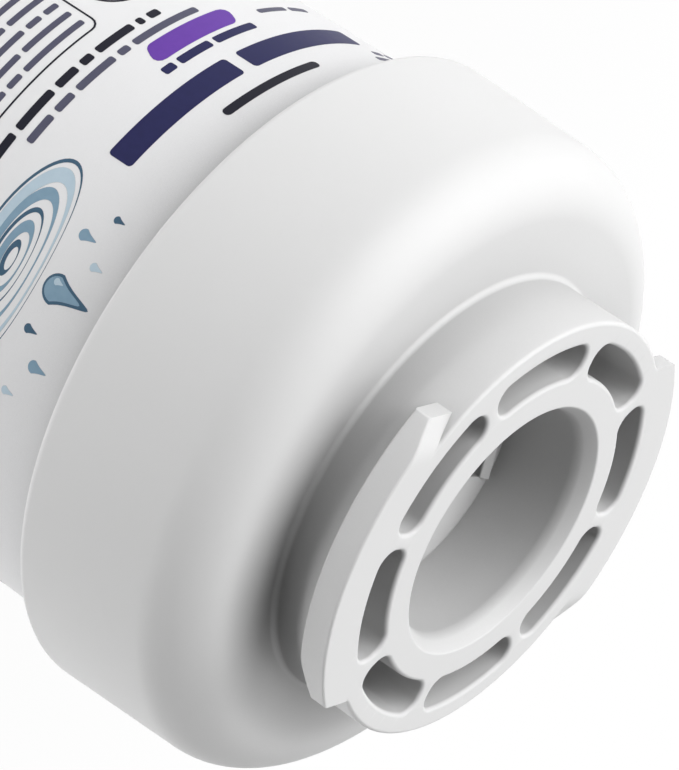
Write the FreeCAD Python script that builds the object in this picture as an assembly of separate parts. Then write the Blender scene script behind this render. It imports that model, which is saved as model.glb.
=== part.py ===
import FreeCAD, Part
import math
import os

V = FreeCAD.Vector

# Housing sizes, in millimetres, with the closed end on the ground and the axis along Z
overall_height = 166.0
body_diameter = 74.0
body_wall = 2.6
base_wall = 3.0
base_edge_radius = 5.0
base_corner_radius = 3.0

# Head: skirt over the sump, tapered side, shoulder and flat top
head_height = 34.0
skirt_wall = 3.85
skirt_overlap = 16.0
weld_clearance = 0.15
side_draft = 1.0
rim_edge_radius = 1.0
shoulder_radius = 7.1
head_wall = 3.0
ceiling_radius = 2.0

# Neck with its front face
neck_height = 10.0
neck_diameter = 52.4
neck_base_radius = 1.3
face_edge_radius = 0.45

# Arc slots that core out the neck
slot_count = 8
slot_width = 4.4
slot_depth = 11.5
slot_rib = 1.8
slot_angle = 15.0
slot_corner_radius = 1.9
slot_edge_radius = 0.4
neck_wall = 2.6

# Centre bore that takes the appliance's stem
bore_diameter = 28.8
bore_depth = 11.75
lead_in_width = 1.3
lead_in_depth = 1.9
lead_in_edge_radius = 0.35
lead_in_blend_radius = 1.2
bore_corner_radius = 1.4
bore_floor_wall = 2.6

# Inlet ports in the bore's floor, an opposite pair
port_angle = 12.0
port_span = 45.0
port_radial_width = 2.7
port_lip_width = 1.7
port_lip_height = 0.4
port_wall = 0.6

# Bayonet lugs, an opposite pair along X
lug_width = 35.3
lug_reach = 3.0
lug_thickness = 3.45
front_ramp_length = 3.5
front_ramp_drop = 1.35
front_ramp_blend_radius = 6.0
back_ramp_length = 4.9
back_ramp_rise = 1.27
lug_edge_radius = 0.45

# Outlet socket under the bore and the spigot that seals in it
socket_diameter = 12.4
socket_wall = 1.8
socket_depth = 12.0
outlet_diameter = 6.4
spigot_clearance = 0.25
spigot_end_gap = 0.6
groove_count = 2
groove_depth = 1.5
groove_width = 2.1
groove_pitch = 4.2
groove_first = 3.0
seal_gap = 0.05

# Filter element between the head and the sump's floor
flow_gap = 3.2
end_cap_web = 2.5
end_cap_rim = 6.0
end_cap_rim_wall = 1.5
end_cap_gap = 0.8
seat_clearance = 0.2
wrap_thickness = 1.5
wrap_gap = 0.1
block_bore = 16.0
core_wall = 1.6
core_rows = 9
core_row_slots = 4
core_slot_length = 7.0
core_slot_width = 3.0

# Feet and centring fins of the lower end cap
foot_count = 6
foot_height = 4.0
foot_width = 2.0
foot_inner_radius = 10.0
fin_clearance = 0.3

# Printed film wrapped round the sump
label_thickness = 0.15
label_glue = 0.05
label_seam_gap = 1.5
label_seam_angle = 154.0
label_margin_top = 2.0
label_margin_bottom = 2.5

# Radii that follow from the sizes above
body_radius = body_diameter / 2
sump_inner_radius = body_radius - body_wall
skirt_inner_radius = body_radius + weld_clearance
rim_radius = skirt_inner_radius + skirt_wall
head_top_radius = rim_radius - side_draft
neck_radius = neck_diameter / 2
slot_outer_radius = neck_radius - neck_wall
slot_inner_radius = slot_outer_radius - slot_width
bore_radius = bore_diameter / 2
lug_radius = neck_radius + lug_reach
socket_radius = socket_diameter / 2
socket_outer_radius = socket_radius + socket_wall
spigot_radius = socket_radius - spigot_clearance
groove_radius = spigot_radius - groove_depth
outlet_radius = outlet_diameter / 2
cap_outer_radius = sump_inner_radius - flow_gap
cap_inner_radius = cap_outer_radius - end_cap_rim_wall
wrap_outer_radius = cap_inner_radius - seat_clearance
wrap_inner_radius = wrap_outer_radius - wrap_thickness
block_radius = wrap_inner_radius - wrap_gap
core_outer_radius = block_bore / 2 - seat_clearance
core_inner_radius = core_outer_radius - core_wall

# Levels that follow from the sizes above
face_level = overall_height
top_level = face_level - neck_height
rim_level = face_level - head_height
ledge_level = rim_level + skirt_overlap
ceiling_level = top_level - head_wall
bore_floor_level = face_level - bore_depth
socket_roof_level = face_level - max(bore_depth, slot_depth) - bore_floor_wall
socket_mouth_level = socket_roof_level - socket_depth
upper_web_top = socket_mouth_level - end_cap_gap
block_top = upper_web_top - end_cap_web
lower_web_bottom = base_wall + foot_height
block_bottom = lower_web_bottom + end_cap_web
spigot_top = socket_roof_level - spigot_end_gap


def unit(vector):
    """The same direction with length one."""
    return vector * (1.0 / vector.Length)


def rounded_face(corners, across, up):
    """Closed flat face from corners given as (distance across, distance up, rounding)."""
    points = [across * reach + up * height for reach, height, _ in corners]
    stops = []
    arcs = []
    for index, (_, _, rounding) in enumerate(corners):
        here = points[index]
        if rounding == 0:
            stops.append((here, here))
            arcs.append(None)
            continue
        back = unit(points[index - 1] - here)
        ahead = unit(points[(index + 1) % len(points)] - here)
        half_turn = back.getAngle(ahead) / 2
        reach = rounding / math.tan(half_turn)
        centre = here + unit(back + ahead) * (rounding / math.sin(half_turn))
        middle = centre + unit(here - centre) * rounding
        stops.append((here + back * reach, here + ahead * reach))
        arcs.append(Part.Arc(stops[-1][0], middle, stops[-1][1]).toShape())
    edges = []
    for index, arc in enumerate(arcs):
        if arc:
            edges.append(arc)
        leave = stops[index][1]
        arrive = stops[(index + 1) % len(stops)][0]
        edges.append(Part.LineSegment(leave, arrive).toShape())
    return Part.Face(Part.Wire(edges))


def turned(corners):
    """Solid of revolution about Z from a half section."""
    return rounded_face(corners, V(1, 0, 0), V(0, 0, 1)).revolve(V(0, 0, 0), V(0, 0, 1), 360)


def tube(inner, outer, bottom, top):
    """Plain round tube about Z."""
    return turned([(inner, bottom, 0), (outer, bottom, 0), (outer, top, 0), (inner, top, 0)])


def about_axis(shape, degrees):
    """Copy of a shape turned about Z."""
    copy = shape.copy()
    copy.rotate(V(0, 0, 0), V(0, 0, 1), degrees)
    return copy


def plate(outline, bottom, top):
    """Upright prism over a flat outline of (x, y) points."""
    points = [V(x, y, bottom) for x, y in outline]
    face = Part.Face(Part.makePolygon(points + points[:1]))
    return face.extrude(V(0, 0, top - bottom))


def bar(near, far, width, bottom, top):
    """Straight bar along X with a given width across."""
    half = width / 2
    return plate([(near, -half), (far, -half), (far, half), (near, half)], bottom, top)


def wedge(span, near, far, bottom, top):
    """Piece of a sector along X with radial sides and straight ends at two distances."""
    slope = math.tan(math.radians(span / 2))
    outline = [(near, -near * slope), (far, -far * slope), (far, far * slope), (near, near * slope)]
    return plate(outline, bottom, top)


def head_body():
    """Turned form of the head, from the rim to the face, the bore and the outlet socket."""
    return turned([
        (skirt_inner_radius, rim_level, 0),
        (rim_radius, rim_level, rim_edge_radius),
        (head_top_radius, top_level, shoulder_radius),
        (neck_radius, top_level, neck_base_radius),
        (neck_radius, face_level, face_edge_radius),
        (bore_radius + lead_in_width, face_level, lead_in_edge_radius),
        (bore_radius, face_level - lead_in_depth, lead_in_blend_radius),
        (bore_radius, bore_floor_level, bore_corner_radius),
        (outlet_radius, bore_floor_level, 0),
        (outlet_radius, socket_roof_level, 0),
        (socket_radius, socket_roof_level, 0),
        (socket_radius, socket_mouth_level, 0),
        (socket_outer_radius, socket_mouth_level, 0),
        (socket_outer_radius, socket_roof_level, 0),
        (neck_radius, socket_roof_level, 0),
        (neck_radius, ceiling_level, 0),
        (sump_inner_radius, ceiling_level, ceiling_radius),
        (sump_inner_radius, ledge_level, 0),
        (skirt_inner_radius, ledge_level, 0),
    ])


def neck_slot():
    """Cutter for one arc slot centred on X, with rounded ends."""
    floor = face_level - slot_depth
    rib_angle = math.degrees(slot_rib / (slot_inner_radius + slot_width / 2))
    span = 360.0 / slot_count - rib_angle
    ring = Part.Face(Part.Wire(Part.makeCircle(slot_outer_radius, V(0, 0, floor))))
    ring = ring.cut(Part.Face(Part.Wire(Part.makeCircle(slot_inner_radius, V(0, 0, floor)))))
    ring = ring.extrude(V(0, 0, slot_depth))
    slot = ring.common(wedge(span, slot_inner_radius / 2, 2 * slot_outer_radius, floor, face_level))
    upright = [edge for edge in slot.Edges
               if abs(edge.BoundBox.ZLength - slot_depth) < 1e-6 and edge.BoundBox.XLength < 1e-6]
    return slot.makeFillet(slot_corner_radius, upright)


def cut_slots(head):
    """Cut the ring of slots and round their mouths."""
    slot = neck_slot()
    step = 360.0 / slot_count
    head = head.cut([about_axis(slot, slot_angle + step * index) for index in range(slot_count)])
    margin = slot_edge_radius / 2
    mouths = []
    for edge in head.Edges:
        if edge.BoundBox.ZMin < face_level - 1e-6:
            continue
        reach = max(math.hypot(vertex.X, vertex.Y) for vertex in edge.Vertexes)
        if slot_inner_radius - margin < reach < slot_outer_radius + margin:
            mouths.append(edge)
    return head.makeFillet(slot_edge_radius, mouths)


def bayonet_lug():
    """Lug on the +X side of the neck, flush with the face, with a front and a back ramp."""
    half = lug_width / 2
    back_level = face_level - lug_thickness
    side = [
        (-half, back_level, 0),
        (half - back_ramp_length, back_level, 0),
        (half, back_level + back_ramp_rise, 0),
        (half, face_level, 0),
        (front_ramp_length - half, face_level, front_ramp_blend_radius),
        (-half, face_level - front_ramp_drop, 0),
    ]
    lug = rounded_face(side, V(0, 1, 0), V(0, 0, 1)).extrude(V(lug_radius, 0, 0))
    lug = lug.common(Part.makeCylinder(lug_radius, overall_height))
    # The outer rim and the two ends are softened before the lug joins the neck
    outer = [edge for edge in lug.Edges
             if min(math.hypot(vertex.X, vertex.Y) for vertex in edge.Vertexes) > lug_radius - 1e-3]
    lug = lug.makeFillet(lug_edge_radius, outer)
    root = (slot_outer_radius + slot_edge_radius + neck_radius - face_edge_radius) / 2
    return lug.cut(Part.makeCylinder(root, overall_height))


def inlet_port():
    """Cutter through the bore's floor and the raised lip beside it, both on the +X side."""
    near = socket_outer_radius + port_wall
    far = near + port_radial_width
    hole = wedge(port_span, near, far, socket_roof_level, face_level)
    lip = wedge(port_span, far, far + port_lip_width, socket_roof_level, bore_floor_level + port_lip_height)
    lip = lip.common(Part.makeCylinder(bore_radius + head_wall / 2, overall_height))
    return hole, lip


def head_cap():
    """Head of the cartridge, moulded as one piece."""
    head = cut_slots(head_body())
    hole, lip = inlet_port()
    lug = bayonet_lug()
    for turn in (0.0, 180.0):
        head = head.fuse([about_axis(lug, turn), about_axis(lip, port_angle + turn)])
        head = head.cut(about_axis(hole, port_angle + turn))
    return head.removeSplitter()


def sump_shell():
    """Cup that holds the filter element, open upwards into the head."""
    return turned([
        (0, 0, 0),
        (body_radius, 0, base_edge_radius),
        (body_radius, ledge_level, 0),
        (sump_inner_radius, ledge_level, 0),
        (sump_inner_radius, base_wall, base_corner_radius),
        (0, base_wall, 0),
    ])


def body_label():
    """Film wrapped once round the sump, with a narrow seam at the back."""
    inner = body_radius + label_glue
    outer = inner + label_thickness
    bottom = base_edge_radius + label_margin_bottom
    top = rim_level - label_margin_top
    seam = bar(sump_inner_radius, rim_radius, label_seam_gap, bottom, top)
    return tube(inner, outer, bottom, top).cut(about_axis(seam, label_seam_angle))


def core_tube():
    """Perforated tube in the block's bore."""
    core = tube(core_inner_radius, core_outer_radius, block_bottom, block_top)
    pitch = (block_top - block_bottom) / core_rows
    cuts = []
    for row in range(core_rows):
        middle = block_bottom + pitch * (row + 0.5)
        slot = bar(0, core_outer_radius + core_wall, core_slot_width,
                   middle - core_slot_length / 2, middle + core_slot_length / 2)
        for index in range(core_row_slots):
            cuts.append(about_axis(slot, index * 360.0 / core_row_slots))
    return core.cut(cuts)


def top_end_cap():
    """Upper end cap with its rim over the wrap and the grooved spigot in the head's socket."""
    outline = [
        (outlet_radius, block_top, 0),
        (cap_inner_radius, block_top, 0),
        (cap_inner_radius, block_top - end_cap_rim, 0),
        (cap_outer_radius, block_top - end_cap_rim, 0),
        (cap_outer_radius, upper_web_top, 0),
        (spigot_radius, upper_web_top, 0),
    ]
    for level in groove_levels():
        outline += [
            (spigot_radius, level, 0),
            (groove_radius, level, 0),
            (groove_radius, level + groove_width, 0),
            (spigot_radius, level + groove_width, 0),
        ]
    outline += [(spigot_radius, spigot_top, 0), (outlet_radius, spigot_top, 0)]
    return turned(outline)


def groove_levels():
    """Lower edge of each seal groove on the spigot."""
    return [upper_web_top + groove_first + groove_pitch * index for index in range(groove_count)]


def spigot_o_ring(level):
    """Seal ring that fills one groove out to the socket's wall."""
    section = (socket_radius - groove_radius) / 2 - seal_gap
    ring = Part.makeTorus((socket_radius + groove_radius) / 2, section)
    ring.translate(V(0, 0, level + groove_width / 2))
    return ring


def bottom_end_cap():
    """Closed lower end cap with feet on the sump's floor and fins that centre it."""
    cap = turned([
        (0, lower_web_bottom, 0),
        (cap_outer_radius, lower_web_bottom, 0),
        (cap_outer_radius, block_bottom + end_cap_rim, 0),
        (cap_inner_radius, block_bottom + end_cap_rim, 0),
        (cap_inner_radius, block_bottom, 0),
        (0, block_bottom, 0),
    ])
    rim_middle = (cap_inner_radius + cap_outer_radius) / 2
    fin_reach = sump_inner_radius - fin_clearance
    foot = bar(foot_inner_radius, rim_middle, foot_width, base_wall, lower_web_bottom)
    fin = bar(rim_middle, fin_reach, foot_width, lower_web_bottom, block_bottom + end_cap_rim)
    ribs = []
    for index in range(foot_count):
        turn = index * 360.0 / foot_count
        ribs += [about_axis(foot, turn), about_axis(fin, turn)]
    return cap.fuse(ribs).removeSplitter()


pieces = {
    "head_cap": head_cap(),
    "sump_shell": sump_shell(),
    "body_label": body_label(),
    "carbon_block": tube(block_bore / 2, block_radius, block_bottom, block_top),
    "prefilter_wrap": tube(wrap_inner_radius, wrap_outer_radius, block_bottom, block_top),
    "core_tube": core_tube(),
    "top_end_cap": top_end_cap(),
    "bottom_end_cap": bottom_end_cap(),
}
for name, level in zip(("lower", "upper"), groove_levels()):
    pieces["spigot_o_ring_" + name] = spigot_o_ring(level)

os.makedirs("parts", exist_ok=True)
for node, shape in pieces.items():
    shape.exportStep("parts/" + node + ".step")
    print(node, len(shape.Solids), "solid", round(shape.Volume, 1), "mm3", "valid:", shape.isValid())
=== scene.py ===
"""Fridge water filter cartridge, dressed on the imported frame, in metres."""

import logging
import math
from dataclasses import dataclass
from enum import Enum
from typing import Any, Dict, List, Mapping, NamedTuple, Optional, Sequence, Tuple, Union

import bmesh
import bpy
from bmesh.types import BMEdge, BMesh, BMFace, BMVert
from bpy.types import Material, Node, NodeSocket, NodeTree, Object, World
from mathutils import Matrix, Vector


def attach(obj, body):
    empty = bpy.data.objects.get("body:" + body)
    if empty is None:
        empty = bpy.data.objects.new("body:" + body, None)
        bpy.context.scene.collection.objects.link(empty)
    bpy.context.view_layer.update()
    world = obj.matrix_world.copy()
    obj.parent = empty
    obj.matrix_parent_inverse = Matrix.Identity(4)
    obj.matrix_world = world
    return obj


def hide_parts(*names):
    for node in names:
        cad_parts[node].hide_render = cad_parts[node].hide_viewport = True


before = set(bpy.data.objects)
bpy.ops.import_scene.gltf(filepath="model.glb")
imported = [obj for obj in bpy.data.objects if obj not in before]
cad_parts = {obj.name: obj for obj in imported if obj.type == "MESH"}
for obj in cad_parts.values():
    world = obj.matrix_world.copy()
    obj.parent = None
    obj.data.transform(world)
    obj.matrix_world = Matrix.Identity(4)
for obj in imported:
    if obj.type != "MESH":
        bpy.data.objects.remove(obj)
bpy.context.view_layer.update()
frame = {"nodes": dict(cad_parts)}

LOG = logging.getLogger("cartridge")
MM = 0.001
ROOT = "root"
AXIS = Vector((0.0, 0.0, 1.0))
CENTRE = Vector((0.0, 0.0, 0.0))
FULL_TURN = 2.0 * math.pi
# Lengths in millimetres that differ by less than this agree
SAME = 1e-3
# A face whose normal has at least this upward share lies flat
FLAT = 0.9
# Sockets of a Mix node for colours, whose names its other types share
MIX_SHARE, MIX_FIRST, MIX_SECOND, MIX_RESULT = 0, 6, 7, 2


def linear(colour: str) -> Tuple[float, float, float, float]:
    """Turn an sRGB hex colour into linear RGBA.

    Args:
        colour: Colour as "#rrggbb".

    Returns:
        The four linear channels, opaque.
    """
    channels = [int(colour[start:start + 2], 16) / 255 for start in (1, 3, 5)]
    red, green, blue = (c / 12.92 if c <= 0.04045 else ((c + 0.055) / 1.055) ** 2.4 for c in channels)
    return red, green, blue, 1.0


def per_metre(size_mm: float) -> float:
    """Texture scale that gives a pattern a real size in millimetres."""
    return 1.0 / (size_mm * MM)


@dataclass
class Recipe:
    """Shader nodes of one material, or of the surround, in the making."""

    tree: NodeTree

    @classmethod
    def of(cls, owner: Union[Material, World]) -> "Recipe":
        """Start with no nodes.

        Args:
            owner: Material or world that gets the nodes.

        Returns:
            The empty recipe.
        """
        owner.use_nodes = True
        owner.node_tree.nodes.clear()
        return cls(owner.node_tree)

    def fill(self, node: Node, inputs: Mapping[Union[str, int], Any]) -> None:
        """Set or link the inputs of a node.

        Args:
            node: Node that takes them.
            inputs: Constant or feeding socket of each input, by name or number.
        """
        for key, value in inputs.items():
            if isinstance(value, NodeSocket):
                self.tree.links.new(value, node.inputs[key])
            else:
                node.inputs[key].default_value = value

    def add(self, kind: str, inputs: Optional[Mapping[Union[str, int], Any]] = None,
            **settings: Any) -> Node:
        """Add one shader node with its settings, socket values and links.

        Args:
            kind: Blender's name of the node type.
            inputs: Constant or feeding socket of each input, by name or number.
            **settings: Properties of the node itself.

        Returns:
            The new node.
        """
        node = self.tree.nodes.new(kind)
        for name, value in settings.items():
            setattr(node, name, value)
        self.fill(node, inputs or {})
        return node


@dataclass(frozen=True)
class Finish:
    """What every finish has: its name, its colours and its gloss."""

    name: str
    colour: str
    shade: str
    roughness: float
    ior: float = 1.49
    # Rays of the occlusion probe that paints shade into recesses
    painted_shade_samples: int = 8

    def material(self) -> Material:
        """Build the material.

        Returns:
            A node material that reads Object coordinates.
        """
        made = bpy.data.materials.new(self.name)
        on = Recipe.of(made)
        shader = on.add("ShaderNodeBsdfPrincipled", {"Roughness": self.roughness, "IOR": self.ior})
        on.add("ShaderNodeOutputMaterial", {"Surface": shader.outputs["BSDF"]})
        on.fill(shader, self.surface(on, on.add("ShaderNodeTexCoord").outputs["Object"]))
        return made

    def surface(self, on: Recipe, place: NodeSocket) -> Dict[str, Any]:
        """Build the pattern of this finish.

        Args:
            on: Nodes of the material.
            place: Object coordinates.

        Returns:
            Inputs of the shader that the pattern feeds.
        """
        raise NotImplementedError

    def tinted(self, on: Recipe, amount: NodeSocket) -> NodeSocket:
        """Colour between shade and colour by an amount from 0 to 1.

        Args:
            on: Nodes of the material.
            amount: Socket that picks the shade at 0 and the colour at 1.

        Returns:
            Socket with the colour.
        """
        mixed = {MIX_SHARE: amount, MIX_FIRST: linear(self.shade), MIX_SECOND: linear(self.colour)}
        return on.add("ShaderNodeMix", mixed, data_type="RGBA").outputs[MIX_RESULT]

    def with_painted_shade(self, on: Recipe, colour: NodeSocket, reach_mm: float, kept: Union[float, NodeSocket],
                 closed: float = 0.0) -> NodeSocket:
        """Paint shade into a colour in recesses: an occlusion probe darkens it where walls are near.

        Args:
            on: Nodes of the material.
            colour: Socket with the colour of the open surface.
            reach_mm: Distance at which a wall still counts.
            kept: Share of the colour that is kept in a closed corner, under the deepest painted shade.
            closed: Share of open surroundings at which a corner counts as closed.

        Returns:
            Socket with the colour.
        """
        # Painted shade: the colour is darkened where the occlusion probe finds walls near
        reach = {"Distance": reach_mm * MM}
        recess = on.add("ShaderNodeAmbientOcclusion", reach, samples=self.painted_shade_samples)
        share = on.add("ShaderNodeMapRange", {
            "Value": recess.outputs["AO"], "From Min": closed, "To Min": kept, "To Max": 1.0})
        mixed = {MIX_SHARE: 1.0, MIX_FIRST: colour, MIX_SECOND: share.outputs["Result"]}
        product = on.add("ShaderNodeMix", mixed, data_type="RGBA", blend_type="MULTIPLY")
        return product.outputs[MIX_RESULT]

    def glossed(self, on: Recipe, amount: NodeSocket, less: float, more: float) -> NodeSocket:
        """Vary the roughness by an amount from 0 to 1.

        Args:
            on: Nodes of the material.
            amount: Socket with the amount.
            less: How far the roughness falls at 0.
            more: How far it rises at 1.

        Returns:
            Socket with the roughness.
        """
        span = {"Value": amount, "To Min": self.roughness - less, "To Max": self.roughness + more}
        return on.add("ShaderNodeMapRange", span).outputs["Result"]

    def raised(self, on: Recipe, height: NodeSocket, depth_mm: float, strength: float) -> NodeSocket:
        """Turn a height into a bump.

        Args:
            on: Nodes of the material.
            height: Socket with the height from 0 to 1.
            depth_mm: Real depth of the relief.
            strength: Share of the relief that shows.

        Returns:
            Socket with the normal.
        """
        relief = {"Height": height, "Strength": strength, "Distance": depth_mm * MM}
        return on.add("ShaderNodeBump", relief).outputs["Normal"]


@dataclass(frozen=True)
class MouldedPolypropylene(Finish):
    """Satin white polypropylene from a lightly spark-eroded mould."""

    flow_mm: float = 38.0
    grain_mm: float = 0.45
    grain_depth_mm: float = 0.02
    grain_strength: float = 0.12
    gloss_spread: float = 0.05
    # Painted shade in recesses: its reach, the share of white it keeps, and a lighter painted shade within
    # a radius that holds the slots and the bore
    painted_shade_reach_mm: float = 30.0
    painted_shade_kept: float = 0.5
    lighter_shade_kept: float = 0.7
    lighter_shade_radius_mm: float = 24.4
    bore_wall_mm: float = 15.2
    bore_band_mm: float = 0.9
    fade_mm: float = 0.4

    def surface(self, on: Recipe, place: NodeSocket) -> Dict[str, Any]:
        """Soft satin skin: even white, a broad cloud from the melt's flow, and painted shade in recesses.

        Args:
            on: Nodes of the material.
            place: Object coordinates.

        Returns:
            Inputs of the shader.
        """
        # The melt's flow leaves a faint broad cloud in the white
        cloud = on.add("ShaderNodeTexNoise", {
            "Vector": place, "Scale": per_metre(self.flow_mm), "Detail": 2.0, "Roughness": 0.4})
        white = self.tinted(on, cloud.outputs["Fac"])
        # The real grain is about 0.1 mm, drawn coarser here so that it shows
        grain = on.add("ShaderNodeTexNoise", {
            "Vector": place, "Scale": per_metre(self.grain_mm), "Detail": 3.0, "Roughness": 0.55})
        skin = grain.outputs["Fac"]
        # The base colour carries painted shade in recesses, lighter in the slots and on the bore's floor
        return {
            "Base Color": self.with_painted_shade(on, white, self.painted_shade_reach_mm, self.white_kept_under_painted_shade(on, place)),
            "Roughness": self.glossed(on, skin, self.gloss_spread, self.gloss_spread),
            "Normal": self.raised(on, skin, self.grain_depth_mm, self.grain_strength),
        }

    def white_kept_under_painted_shade(self, on: Recipe, place: NodeSocket) -> NodeSocket:
        """Share of white kept under the painted shade: the slots and the bore's floor get lighter painted
        shade than the rest.

        Args:
            on: Nodes of the material.
            place: Object coordinates.

        Returns:
            Socket with the share, by the distance from the axis.
        """
        flat = on.add("ShaderNodeMapping", {"Vector": place, "Scale": (1.0, 1.0, 0.0)})
        reach = on.add("ShaderNodeVectorMath", {0: flat.outputs["Vector"]}, operation="LENGTH")
        beyond = on.add("ShaderNodeMapRange", {
            "Value": reach.outputs["Value"],
            "From Min": self.lighter_shade_radius_mm * MM,
            "From Max": (self.lighter_shade_radius_mm + self.fade_mm) * MM,
        })
        past_wall = {0: reach.outputs["Value"], 1: self.bore_wall_mm * MM}
        off_wall = on.add("ShaderNodeMath", past_wall, operation="SUBTRACT")
        beside = on.add("ShaderNodeMath", {0: off_wall.outputs["Value"]}, operation="ABSOLUTE")
        wall = on.add("ShaderNodeMapRange", {
            "Value": beside.outputs["Value"],
            "From Min": (self.bore_band_mm + self.fade_mm) * MM,
            "From Max": self.bore_band_mm * MM,
        })
        either = {0: beyond.outputs["Result"], 1: wall.outputs["Result"]}
        plain = on.add("ShaderNodeMath", either, operation="MAXIMUM")
        kept = on.add("ShaderNodeMapRange", {
            "Value": plain.outputs["Value"], "To Min": self.lighter_shade_kept, "To Max": self.painted_shade_kept})
        return kept.outputs["Result"]


@dataclass(frozen=True)
class LabelFilm(Finish):
    """White polypropylene label film, calendered, with fine lines along its run."""

    line_mm: float = 0.6
    line_squeeze: float = 0.02
    line_depth_mm: float = 0.01
    line_strength: float = 0.1
    gloss_spread: float = 0.04
    cloud_mm: float = 22.0
    # Painted shade near parts that close the film in, as under the head's rim: its reach, the share kept
    # and the openness that counts as closed
    painted_shade_reach_mm: float = 26.0
    painted_shade_kept: float = 0.0
    painted_shade_closed: float = 0.22

    def surface(self, on: Recipe, place: NodeSocket) -> Dict[str, Any]:
        """Smooth white film with faint lines round the body, a soft cloud in the white and painted shade
        where nearby parts close it in, as under the head's rim.

        Args:
            on: Nodes of the material.
            place: Object coordinates.

        Returns:
            Inputs of the shader.
        """
        # Calender lines run round the body, drawn coarser than the real tenth of a millimetre
        drawn_out = on.add("ShaderNodeMapping", {
            "Vector": place, "Scale": (self.line_squeeze, self.line_squeeze, 1.0)})
        lines = on.add("ShaderNodeTexNoise", {
            "Vector": drawn_out.outputs["Vector"], "Scale": per_metre(self.line_mm), "Detail": 2.0})
        skin = lines.outputs["Fac"]
        cloud = on.add("ShaderNodeTexNoise", {
            "Vector": place, "Scale": per_metre(self.cloud_mm), "Detail": 2.0})
        white = self.tinted(on, cloud.outputs["Fac"])
        # The base colour carries painted shade under the head's rim
        return {
            "Base Color": self.with_painted_shade(on, white, self.painted_shade_reach_mm, self.painted_shade_kept, self.painted_shade_closed),
            "Roughness": self.glossed(on, skin, self.gloss_spread, self.gloss_spread),
            "Normal": self.raised(on, skin, self.line_depth_mm, self.line_strength),
        }


@dataclass(frozen=True)
class PrintingInk(Finish):
    """Flexographic ink on film, slightly uneven where the plate pressed it out."""

    mottle_mm: float = 0.9
    sheen: float = 0.15
    gloss_fall: float = 0.05
    gloss_rise: float = 0.08

    def surface(self, on: Recipe, place: NodeSocket) -> Dict[str, Any]:
        """Dense ink with the small mottle of a printing plate.

        Args:
            on: Nodes of the material.
            place: Object coordinates.

        Returns:
            Inputs of the shader.
        """
        mottle = on.add("ShaderNodeTexNoise", {
            "Vector": place, "Scale": per_metre(self.mottle_mm), "Detail": 3.0, "Roughness": 0.6})
        return {
            "Specular IOR Level": self.sheen,
            "Base Color": self.tinted(on, mottle.outputs["Fac"]),
            "Roughness": self.glossed(on, mottle.outputs["Fac"], self.gloss_fall, self.gloss_rise),
        }


@dataclass(frozen=True)
class PressedCarbon(Finish):
    """Activated carbon grains pressed into a block."""

    grain_mm: float = 0.7
    pore_depth_mm: float = 0.2
    pore_strength: float = 0.7

    def surface(self, on: Recipe, place: NodeSocket) -> Dict[str, Any]:
        """Matt black grains with pores between them.

        Args:
            on: Nodes of the material.
            place: Object coordinates.

        Returns:
            Inputs of the shader.
        """
        grains = on.add("ShaderNodeTexVoronoi", {
            "Vector": place, "Scale": per_metre(self.grain_mm), "Randomness": 1.0})
        tone = on.add("ShaderNodeSeparateColor", {0: grains.outputs["Color"]})
        return {
            "Base Color": self.tinted(on, tone.outputs[0]),
            "Normal": self.raised(on, grains.outputs["Distance"], self.pore_depth_mm, self.pore_strength),
        }


@dataclass(frozen=True)
class NonwovenSheet(Finish):
    """Spunbond polypropylene sheet with thermal bond points."""

    fibre_mm: float = 0.25
    bond_pitch_mm: float = 2.4
    bond_depth_mm: float = 0.3
    bond_strength: float = 0.8

    def surface(self, on: Recipe, place: NodeSocket) -> Dict[str, Any]:
        """Fibrous white sheet with a regular field of pressed points.

        Args:
            on: Nodes of the material.
            place: Object coordinates.

        Returns:
            Inputs of the shader.
        """
        # The real fibres are about 0.02 mm, drawn coarser here so that they show
        fibres = on.add("ShaderNodeTexNoise", {
            "Vector": place, "Scale": per_metre(self.fibre_mm), "Detail": 4.0, "Distortion": 1.5})
        bonds = on.add("ShaderNodeTexVoronoi", {
            "Vector": place, "Scale": per_metre(self.bond_pitch_mm), "Randomness": 0.15})
        both = {0: fibres.outputs["Fac"], 1: bonds.outputs["Distance"]}
        pressed = on.add("ShaderNodeMath", both, operation="MULTIPLY")
        return {
            "Base Color": self.tinted(on, fibres.outputs["Fac"]),
            "Normal": self.raised(on, pressed.outputs["Value"], self.bond_depth_mm, self.bond_strength),
        }


@dataclass(frozen=True)
class NaturalPolypropylene(Finish):
    """Unpigmented polypropylene of the inner mouldings."""

    flow_mm: float = 14.0
    flow_depth_mm: float = 0.05
    flow_strength: float = 0.2
    glow: float = 0.15
    glow_mm: float = 2.0

    def surface(self, on: Recipe, place: NodeSocket) -> Dict[str, Any]:
        """Milky plastic with flow marks and a little light passing through.

        Args:
            on: Nodes of the material.
            place: Object coordinates.

        Returns:
            Inputs of the shader.
        """
        flow = on.add("ShaderNodeTexNoise", {
            "Vector": place, "Scale": per_metre(self.flow_mm), "Detail": 3.0, "Distortion": 0.8})
        return {
            "Subsurface Weight": self.glow,
            "Subsurface Scale": self.glow_mm * MM,
            "Base Color": self.tinted(on, flow.outputs["Fac"]),
            "Normal": self.raised(on, flow.outputs["Fac"], self.flow_depth_mm, self.flow_strength),
        }


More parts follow.
